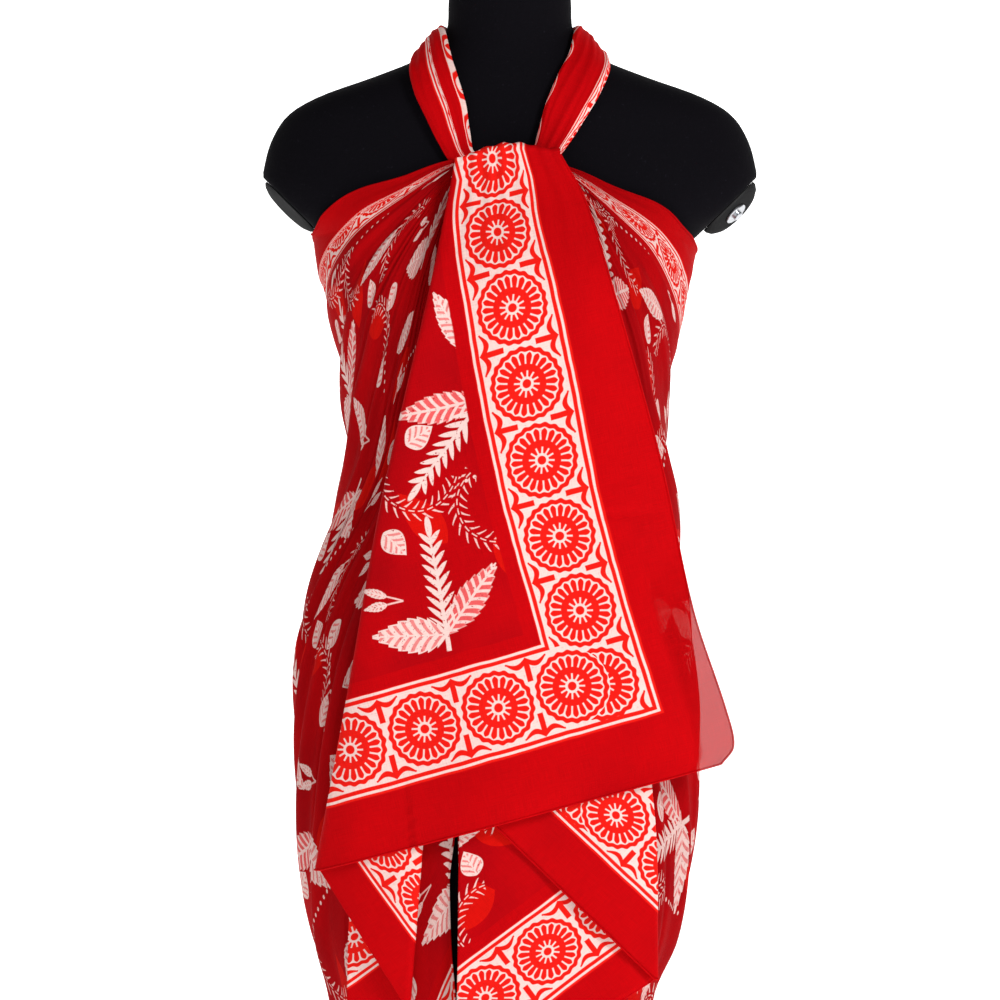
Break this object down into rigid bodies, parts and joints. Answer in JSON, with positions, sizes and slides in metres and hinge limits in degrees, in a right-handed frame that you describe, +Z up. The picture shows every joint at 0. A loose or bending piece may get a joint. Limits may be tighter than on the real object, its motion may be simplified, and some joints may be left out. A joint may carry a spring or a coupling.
{
  "type": "sarong on a dress form",
  "caption": "Red block printed cotton sarong tied as a halter-neck wrap with hanging front panels, on a black limbless dress form with a round base.",
  "frame": {"origin": "centre of the stand base's underside", "axes": "+Z up, -Y towards the front of the form, +X towards the right of the front view"},
  "size_m": [0.425, 0.34, 1.5475],
  "materials": {
    "printed_cloth": "matte plain weave",
    "form_jersey": "matte jersey",
    "black_enamel": "satin",
    "steel": "satin"
  },
  "bodies": {
    "root": {"form_torso": "form_jersey", "form_neck_cap": "black_enamel", "arm_plate_left": "black_enamel", "arm_plate_right": "black_enamel", "arm_peg_right": "steel", "stand_base": "black_enamel", "stand_collar": "black_enamel", "stand_pole": "steel", "wrap_left": "printed_cloth", "wrap_right": "printed_cloth", "over_panel": "printed_cloth", "under_panel": "printed_cloth", "strap_left": "printed_cloth", "strap_right": "printed_cloth", "neck_knot": "printed_cloth", "tail_left": "printed_cloth", "tail_right": "printed_cloth"}
  },
  "joints": []
}
